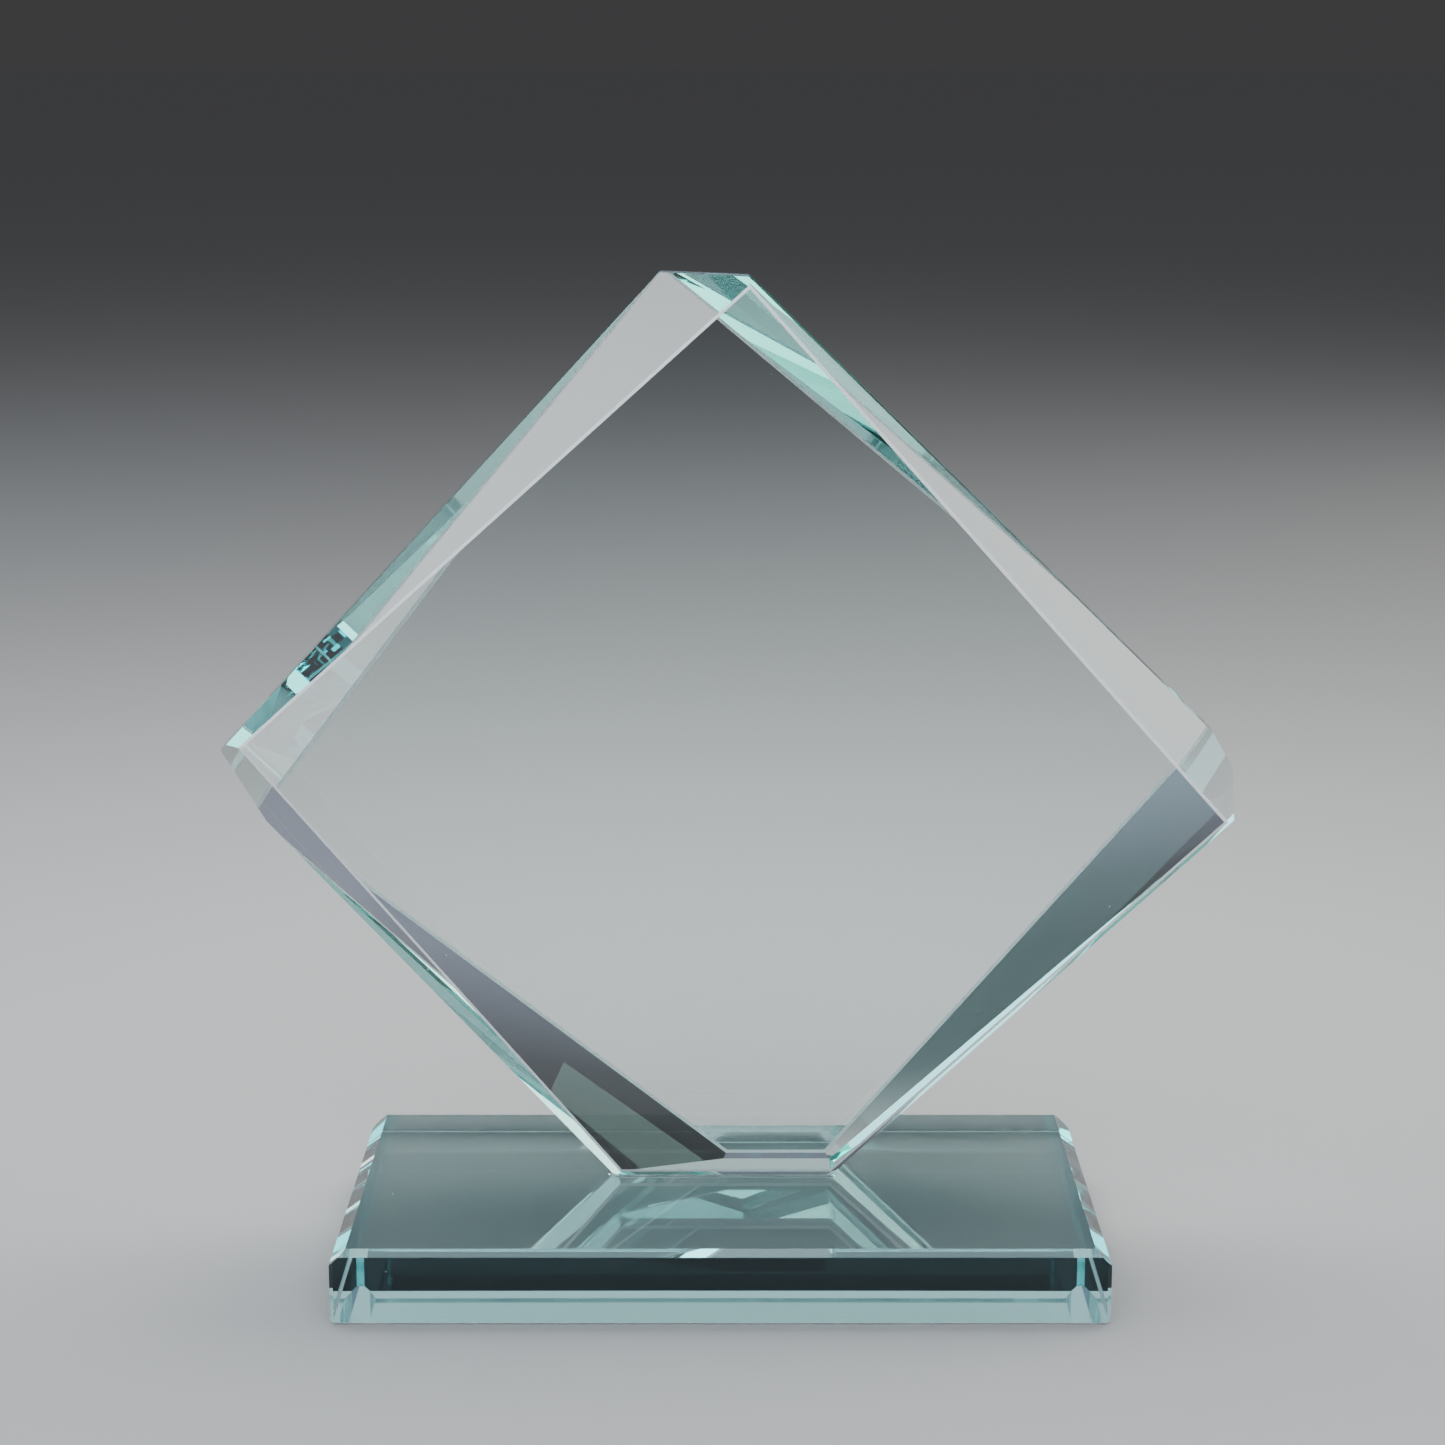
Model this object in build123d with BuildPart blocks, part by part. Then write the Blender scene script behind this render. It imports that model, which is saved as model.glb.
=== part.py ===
"""A diamond-shaped glass award: a bevelled plate that stands on its cut corner, bonded to a slab base.

Millimetres, +Z up, the plate faces -Y. The origin is the middle of the base's underside.
"""

import math
import os

from build123d import *

# Base slab.
base_width = 150.0
base_depth = 78.0
base_thickness = 15.0
base_end_bevel = 3.2  # along the two short edges of the top
base_long_bevel = 1.3  # along the two long edges of the top
base_corner_bevel = 0.8  # on the four upright corners
base_foot_arris = 0.4  # round the underside

# Adhesive between the plate's foot and the base: a thin film with a rim that squeezed out.
bond_thickness = 0.2
bond_rim = 0.9
bond_rim_round = 0.12

# Plate.
plate_thickness = 18.0
plate_front = 0.0  # the front face stands over the base's middle line
plate_height = 181.5
plate_arris = 0.3  # the fine ground line round the front and the back face
foot_bevel = 1.3  # along the foot's front and back edges

# The plate's outline, clockwise from the front: across from the middle of the foot, and up from it.
foot_left = (-22.0, 0.0)
low_left = (-91.2, 72.5)
high_left = (-99.3, 88.0)
top_left = (-12.0, plate_height)
top_right = (5.5, plate_height)
high_right = (98.5, 90.5)
shoulder_right = (102.5, 83.5)
low_right = (102.0, 74.5)
foot_right = (22.5, 0.0)
left_corners = (foot_left, low_left, high_left, top_left)
right_corners = (top_right, high_right, shoulder_right, low_right, foot_right)

# A long side has a front bevel that widens clockwise and a back bevel that narrows clockwise, so the
# front face is turned one way inside the outline and the back face the other way. Only the lower right
# side has a narrow ground edge in place of its front bevel. Between its two bevels a side is upright.
front_slope = math.tan(math.radians(45.0))  # how far back a front bevel goes for its width
back_slope = math.tan(math.radians(41.5))  # how far forward a back bevel goes for its width
upper_left_slope = math.tan(math.radians(30.0))  # the same, on the upper left side

# Each row is a side's first and last corner, the front bevel's and the back bevel's width at those
# corners, and the back bevel's slope.
sides = (
    (high_left, top_left, (2.0, 13.2), (13.8, 1.6), upper_left_slope),
    (top_right, high_right, (1.1, 9.5), (10.6, 0.5), back_slope),
    (low_right, foot_right, (1.1, 1.1), (13.5, 1.6), back_slope),
    (foot_left, low_left, (2.2, 8.2), (15.5, 0.7), back_slope),
)

# Heights of the stack.
bond_height = base_thickness
foot_height = bond_height + bond_thickness


def on_side(start, end, share, inset, depth):
    """A point near a side: along it by share, inset from the outline, at a depth behind the front face."""
    along = Vector(*end) - Vector(*start)
    inward = Vector(along.Y, -along.X).normalized()
    flat = Vector(*start) + along * share + inward * inset
    return Vector(flat.X, plate_front + depth, foot_height + flat.Y)


def bevel(start, end, widths, face_depth, rise):
    """A bevel's plane, from its widths on one face at a side's corners, and its rise from that face."""
    first = on_side(start, end, 0, widths[0], face_depth)
    second = on_side(start, end, 1, widths[1], face_depth)
    third = on_side(start, end, 0, 0, face_depth + widths[0] * rise)
    normal = (second - first).cross(third - first)
    middle = Vector(0, plate_front + plate_thickness / 2, foot_height + plate_height / 2)
    if normal.dot(middle - first) > 0:
        normal = -normal
    return Plane(origin=first, x_dir=second - first, z_dir=normal)


with BuildPart() as base:
    with BuildSketch():
        Rectangle(base_width, base_depth)
    extrude(amount=base_thickness)
    chamfer(base.edges().filter_by(Axis.Z), length=base_corner_bevel)
    top_edges = base.faces().sort_by(Axis.Z)[-1].edges()
    chamfer(top_edges.filter_by(Axis.Y), length=base_end_bevel)
    top_edges = base.faces().sort_by(Axis.Z)[-1].edges()
    chamfer(top_edges.filter_by(Axis.X), length=base_long_bevel)
    chamfer(base.faces().sort_by(Axis.Z)[0].edges(), length=base_foot_arris)
base.part.label = "base"

front_plane = Plane(origin=(0, plate_front, foot_height), x_dir=(1, 0, 0), z_dir=(0, -1, 0))
with BuildPart() as plaque:
    with BuildSketch(front_plane):
        with BuildLine():
            Polyline(*left_corners, *right_corners, close=True)
        make_face()
    extrude(amount=-plate_thickness)
    for start, end, front, back, slope in sides:
        split(bisect_by=bevel(start, end, front, 0, front_slope), keep=Keep.BOTTOM)
        split(bisect_by=bevel(start, end, back, plate_thickness, -slope), keep=Keep.BOTTOM)
    foot_edges = plaque.faces().sort_by(Axis.Z)[0].edges()
    chamfer(foot_edges.filter_by(Axis.X), length=foot_bevel)
    chamfer(plaque.faces().sort_by(Axis.Y)[0].edges(), length=plate_arris)
    chamfer(plaque.faces().sort_by(Axis.Y)[-1].edges(), length=plate_arris)
plaque.part.label = "plaque"

# The film fills the gap under the foot and stands out past it all round.
foot_face = plaque.faces().sort_by(Axis.Z)[0]
with BuildPart() as adhesive_bond:
    extrude(offset(foot_face, amount=bond_rim, mode=Mode.PRIVATE), amount=bond_thickness)
    chamfer(adhesive_bond.faces().sort_by(Axis.Z)[-1].edges(), length=bond_rim_round)
adhesive_bond.part.label = "adhesive_bond"

os.makedirs("parts", exist_ok=True)
export_step(base.part, "parts/base.step")
export_step(plaque.part, "parts/plaque.step")
export_step(adhesive_bond.part, "parts/adhesive_bond.step")
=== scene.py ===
"""The looks of a clear glass award, on the frame that the CAD model gives.

Metres, +Z up, front towards -Y.
"""

import math

import bpy
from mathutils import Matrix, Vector


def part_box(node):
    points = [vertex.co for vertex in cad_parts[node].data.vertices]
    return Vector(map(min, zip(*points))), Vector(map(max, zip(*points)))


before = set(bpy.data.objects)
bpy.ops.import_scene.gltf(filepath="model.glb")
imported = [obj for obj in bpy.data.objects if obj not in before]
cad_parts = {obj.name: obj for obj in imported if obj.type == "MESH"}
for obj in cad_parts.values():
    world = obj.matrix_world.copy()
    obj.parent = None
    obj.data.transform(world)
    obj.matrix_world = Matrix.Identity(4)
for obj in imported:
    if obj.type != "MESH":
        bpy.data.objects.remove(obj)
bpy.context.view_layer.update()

# Camera.
CAMERA_PLACE = (0.0004, -0.5881, 0.2391)
CAMERA_PITCH = 12.4  # degrees below the horizon
CAMERA_LENS = 76.26
SENSOR = 36.0

# Studio.
FLOOR_GAP = 0.0001  # the floor lies this far under the base, so that the two faces don't fight
FLOOR_RADIUS = 40.0
FLOOR_CORNER = 10  # degrees between the corners of the floor's outline
FLOOR_COLOUR = (0.45, 0.445, 0.44, 1)
# The room's colour by the sine of the height above the horizon, where it is as dark as the far floor.
ROOM_COLOURS = (
    (0.02, (0.063, 0.063, 0.065, 1)),
    (0.04, (0.1, 0.103, 0.115, 1)),
    (0.08, (0.25, 0.26, 0.32, 1)),
    (0.22, (0.15, 0.16, 0.19, 1)),
    (0.32, (0.024, 0.026, 0.03, 1)),
    (0.46, (0.024, 0.026, 0.03, 1)),
    (0.65, (0.15, 0.152, 0.16, 1)),
    (1.0, (0.2, 0.202, 0.21, 1)),
)

# Glass.
BOUNCES = 40  # light is mirrored many times inside the glass
GLASS_IOR = 1.52
BONDED_IOR = 1.0001  # glass bonded to glass neither bends nor mirrors what crosses the joint
# How strongly each glass takes colour, per metre, and the colour it keeps.
TINTS = {
    "plate_glass": (4.5, (0.083, 0.85, 0.77, 1)),
    "base_glass": (8.0, (0.08, 0.84, 0.87, 1)),
    "clear_adhesive": (6.0, (0.083, 0.85, 0.733, 1)),
}
FILM_GAP = 0.00001  # the film is drawn in by this much, so that its faces don't fight the glass's
FILM_RIM = 0.0009  # the film stands out this far past the foot
ANYWHERE = 1.0  # a rim wider than the award
NEAR = 0.00005  # how far from a bonded face still counts as on it
TOUCH = 0.000001  # how far above the plaque's foot a corner still counts as on it
LEVEL = 0.999  # the least upright part of a level face's normal

# The fine ground lines along the edges.
ARRIS_DEPTH = 0.00029  # the plaque's lie within this of its front and back faces
BASE_ARRIS_HEIGHT = 0.0005  # the base's lies within this of its underside
FACE_NORMAL = 0.99  # the least part of a front or back face's normal that points forwards or backwards
MITRE_NORMAL = 0.707  # the upright part of a 45 degree face's normal
MITRE_SPREAD = 0.1
GROUND_ROUGHNESS = 0.32
GROUND_WHITE = 0.9

# Faint wiping marks.
WIPE_TURN = (0.3, 0.5, 0.6)
WIPE_SCALE = (18, 30, 60)
WIPE_DETAIL = 5.0
WIPE_GRAIN = 0.6
WIPE_FROM = 0.55  # the noise value at which a mark starts
WIPE_TO = 0.8  # the noise value at which it is strongest
WIPE_ROUGHNESS = 0.012

# Specks of dust, one to a cell, most of them too small to see.
DUST_CELLS = 90.0  # to a metre
DUST_SIZE = 0.022  # the largest speck's radius, as a share of a cell
DUST_RARITY = 6.0
DUST_ROUGHNESS = 0.5
DUST_WHITE = 0.7

plaque_low, plaque_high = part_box("plaque")
base_low, base_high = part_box("base")
film_low, film_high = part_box("adhesive_bond")


class Nodes:
    """A short way to write a shader's node tree."""

    def __init__(self, material):
        self.tree = material.node_tree

    def add(self, kind, values=None, **settings):
        made = self.tree.nodes.new(kind)
        for name, value in settings.items():
            setattr(made, name, value)
        for key, value in (values or {}).items():
            if isinstance(value, bpy.types.NodeSocket):
                self.tree.links.new(value, made.inputs[key])
            else:
                made.inputs[key].default_value = value
        return made

    def math(self, operation, *values):
        return self.add("ShaderNodeMath", dict(enumerate(values)), operation=operation).outputs[0]

    def dot(self, vector, axis):
        made = self.add("ShaderNodeVectorMath", {0: vector, 1: axis}, operation="DOT_PRODUCT")
        return made.outputs["Value"]


def foot_sides():
    """The plaque's foot as half planes: the outward direction and the distance of each of its sides."""
    spots = {
        (round(v.co.x, 6), round(v.co.y, 6))
        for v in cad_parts["plaque"].data.vertices
        if v.co.z < plaque_low[2] + TOUCH
    }
    middle = Vector((sum(x for x, _ in spots), sum(y for _, y in spots))) / len(spots)
    ring = sorted((Vector(s) for s in spots), key=lambda p: math.atan2(p.y - middle.y, p.x - middle.x))
    sides = []
    for start, end in zip(ring, ring[1:] + ring[:1]):
        along = (end - start).normalized()
        outward = Vector((along.y, -along.x, 0))
        sides.append((outward, outward.xy.dot(start)))
    return sides


FOOT = foot_sides()


def beyond_foot(nodes, position):
    """How far a point is outside the foot's outline, negative inside it."""
    farthest = None
    for outward, reach in FOOT:
        past = nodes.math("SUBTRACT", nodes.dot(position, outward), reach)
        farthest = past if farthest is None else nodes.math("MAXIMUM", farthest, past)
    return farthest


def bonded(nodes, geometry, low, high, rim):
    """1 on level glass between two heights and within a rim of the foot's outline, where it is bonded."""
    upright = nodes.math("ABSOLUTE", nodes.dot(geometry.outputs["True Normal"], (0, 0, 1)))
    level = nodes.math("GREATER_THAN", upright, LEVEL)
    height = nodes.dot(geometry.outputs["Position"], (0, 0, 1))
    above = nodes.math("GREATER_THAN", height, low)
    here = nodes.math("MULTIPLY", above, nodes.math("LESS_THAN", height, high))
    inside = nodes.math("LESS_THAN", beyond_foot(nodes, geometry.outputs["Position"]), rim)
    return nodes.math("MULTIPLY", nodes.math("MULTIPLY", level, here), inside)


def near_face(nodes, position, along, place, reach):
    """1 within reach of a level place along an axis."""
    off = nodes.math("ABSOLUTE", nodes.math("SUBTRACT", nodes.dot(position, along), place))
    return nodes.math("LESS_THAN", off, reach)


def ground_plate(nodes, geometry):
    """1 on the plaque's fine ground lines: the arris of the front and of the back face."""
    facing = nodes.math("ABSOLUTE", nodes.dot(geometry.outputs["True Normal"], (0, 1, 0)))
    slanted = nodes.math("LESS_THAN", facing, FACE_NORMAL)
    front = near_face(nodes, geometry.outputs["Position"], (0, 1, 0), plaque_low[1], ARRIS_DEPTH)
    back = near_face(nodes, geometry.outputs["Position"], (0, 1, 0), plaque_high[1], ARRIS_DEPTH)
    return nodes.math("MULTIPLY", slanted, nodes.math("MAXIMUM", front, back))


def ground_base(nodes, geometry):
    """1 on the base's fine ground line round its underside."""
    upright = nodes.math("ABSOLUTE", nodes.dot(geometry.outputs["True Normal"], (0, 0, 1)))
    off = nodes.math("ABSOLUTE", nodes.math("SUBTRACT", upright, MITRE_NORMAL))
    slanted = nodes.math("LESS_THAN", off, MITRE_SPREAD)
    low = near_face(nodes, geometry.outputs["Position"], (0, 0, 1), base_low[2], BASE_ARRIS_HEIGHT)
    return nodes.math("MULTIPLY", slanted, low)


def polish(nodes, position):
    """Roughness of polished glass: none, but for faint wiping marks."""
    wiped = nodes.add("ShaderNodeMapping", {"Vector": position, "Rotation": WIPE_TURN, "Scale": WIPE_SCALE})
    marks = nodes.add(
        "ShaderNodeTexNoise",
        {"Vector": wiped.outputs[0], "Scale": 1.0, "Detail": WIPE_DETAIL, "Roughness": WIPE_GRAIN},
    )
    haze = nodes.add(
        "ShaderNodeMapRange",
        {
            "Value": marks.outputs["Fac"],
            "From Min": WIPE_FROM,
            "From Max": WIPE_TO,
            "To Min": 0.0,
            "To Max": WIPE_ROUGHNESS,
        },
    )
    return haze.outputs["Result"]


def dust(nodes, position):
    """1 on a few small specks."""
    cells = nodes.add("ShaderNodeTexVoronoi", {"Vector": position, "Scale": DUST_CELLS, "Randomness": 1.0})
    size = nodes.add("ShaderNodeSeparateColor", {"Color": cells.outputs["Color"]})
    limit = nodes.math("MULTIPLY", nodes.math("POWER", size.outputs[0], DUST_RARITY), DUST_SIZE)
    return nodes.math("LESS_THAN", cells.outputs["Distance"], limit)


def glass(name, joints, ground=None):
    """Clear glass that takes colour with depth. joints are (low, high, rim) of the faces that are bonded."""
    material = bpy.data.materials.new(name)
    material.use_nodes = True
    nodes = Nodes(material)
    link = material.node_tree.links.new
    shader = material.node_tree.nodes["Principled BSDF"]
    shader.inputs["Base Color"].default_value = (1, 1, 1, 1)
    shader.inputs["IOR"].default_value = GLASS_IOR
    shader.inputs["Transmission Weight"].default_value = 1.0
    geometry = nodes.add("ShaderNodeNewGeometry")
    position = geometry.outputs["Position"]
    mask = None
    for low, high, rim in joints:
        one = bonded(nodes, geometry, low, high, rim)
        mask = one if mask is None else nodes.math("MAXIMUM", mask, one)
    link(nodes.math("MULTIPLY_ADD", mask, BONDED_IOR - GLASS_IOR, GLASS_IOR), shader.inputs["IOR"])
    rough = polish(nodes, position)
    specks = dust(nodes, position)
    rough = nodes.math("MAXIMUM", rough, nodes.math("MULTIPLY", specks, DUST_ROUGHNESS))
    if ground:
        edges = ground(nodes, geometry)
        rough = nodes.math("MAXIMUM", rough, nodes.math("MULTIPLY", edges, GROUND_ROUGHNESS))
        white_edges = nodes.math("MULTIPLY", edges, GROUND_WHITE)
        white = nodes.math("MAXIMUM", white_edges, nodes.math("MULTIPLY", specks, DUST_WHITE))
        link(nodes.math("SUBTRACT", 1.0, white), shader.inputs["Transmission Weight"])
    free = nodes.math("SUBTRACT", 1.0, mask)
    link(nodes.math("MULTIPLY", rough, free), shader.inputs["Roughness"])
    density, kept = TINTS[name]
    volume = nodes.add("ShaderNodeVolumeAbsorption", {"Color": kept, "Density": density})
    link(volume.outputs[0], material.node_tree.nodes["Material Output"].inputs["Volume"])
    return material


def paint(name, material):
    """Gives a CAD node one material."""
    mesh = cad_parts[name].data
    mesh.materials.clear()
    mesh.materials.append(material)


def joint(height, rim):
    """The faces at a height that are bonded, out to a rim past the foot's outline."""
    return (height - NEAR, height + NEAR, rim)


paint("plaque", glass("plate_glass", [joint(plaque_low[2], NEAR)], ground_plate))
paint("base", glass("base_glass", [joint(base_high[2], FILM_RIM)], ground_base))
film_joints = [joint(film_low[2], ANYWHERE), joint(film_high[2], NEAR)]
paint("adhesive_bond", glass("clear_adhesive", film_joints))
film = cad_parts["adhesive_bond"]
inset = film.modifiers.new("inset", "DISPLACE")
inset.strength = -FILM_GAP
inset.mid_level = 0.0

# Floor.
ring = [
    (FLOOR_RADIUS * math.cos(math.radians(a)), FLOOR_RADIUS * math.sin(math.radians(a)), -FLOOR_GAP)
    for a in range(0, 360, FLOOR_CORNER)
]
mesh = bpy.data.meshes.new("floor")
mesh.from_pydata(ring, [], [tuple(range(len(ring)))])
floor = bpy.data.objects.new("floor", mesh)
bpy.context.scene.collection.objects.link(floor)
paper = bpy.data.materials.new("floor_paper")
paper.use_nodes = True
shader = paper.node_tree.nodes["Principled BSDF"]
shader.inputs["Base Color"].default_value = FLOOR_COLOUR
shader.inputs["Roughness"].default_value = 1.0
shader.inputs["Specular IOR Level"].default_value = 0.0
mesh.materials.append(paper)

# The world is a dim grey room.
world = bpy.data.worlds.new("studio")
world.use_nodes = True
sky = Nodes(world)
direction = sky.add("ShaderNodeTexCoord").outputs["Generated"]
height = sky.dot(direction, (0, 0, 1))
room = sky.add("ShaderNodeValToRGB", {"Fac": height})
bands = room.color_ramp.elements
bands[0].position, bands[0].color = ROOM_COLOURS[0]
bands[1].position, bands[1].color = ROOM_COLOURS[-1]
for place, colour in ROOM_COLOURS[1:-1]:
    bands.new(place).color = colour
world.node_tree.links.new(room.outputs["Color"], world.node_tree.nodes["Background"].inputs["Color"])
bpy.context.scene.world = world


def softbox(name, aim, azimuth, elevation, distance, size, power, colour=(1, 1, 1)):
    """A rectangular studio light. Azimuth 0 is behind the award and 90 to its right."""
    light = bpy.data.lights.new(name, "AREA")
    light.shape = "RECTANGLE"
    light.size, light.size_y = size
    light.energy = power
    light.color = colour
    lamp = bpy.data.objects.new(name, light)
    a, e = math.radians(azimuth), math.radians(elevation)
    away = Vector((math.sin(a) * math.cos(e), math.cos(a) * math.cos(e), math.sin(e)))
    lamp.location = Vector(aim) + away * distance
    lamp.rotation_euler = (-away).to_track_quat("-Z", "Y").to_euler()
    bpy.context.scene.collection.objects.link(lamp)


softbox("overhead", (0, 0.17, 0), 0, 88, 0.5, (0.5, 0.3), 2.1)
softbox("front", (0, 0, 0.08), 180, 44, 1.1, (1.3, 0.9), 9, (0.84, 0.92, 1.0))
softbox("right", (0, 0, 0.1), 72, 27, 1.3, (1.4, 1.0), 8, (1.0, 0.97, 0.93))
softbox("left", (0, 0, 0.1), -86, 27, 1.3, (1.5, 1.0), 8, (0.8, 0.91, 1.0))

view = bpy.context.scene.view_settings
view.view_transform = "AgX"
view.look = "AgX - Medium High Contrast"

camera_data = bpy.data.cameras.new("camera")
camera_data.lens = CAMERA_LENS
camera_data.sensor_width = SENSOR
camera = bpy.data.objects.new("camera", camera_data)
camera.location = CAMERA_PLACE
camera.rotation_euler = (math.radians(90 - CAMERA_PITCH), 0, 0)
bpy.context.scene.collection.objects.link(camera)
bpy.context.scene.camera = camera

cycles = bpy.context.scene.cycles
cycles.max_bounces = BOUNCES
cycles.transmission_bounces = BOUNCES
cycles.glossy_bounces = BOUNCES
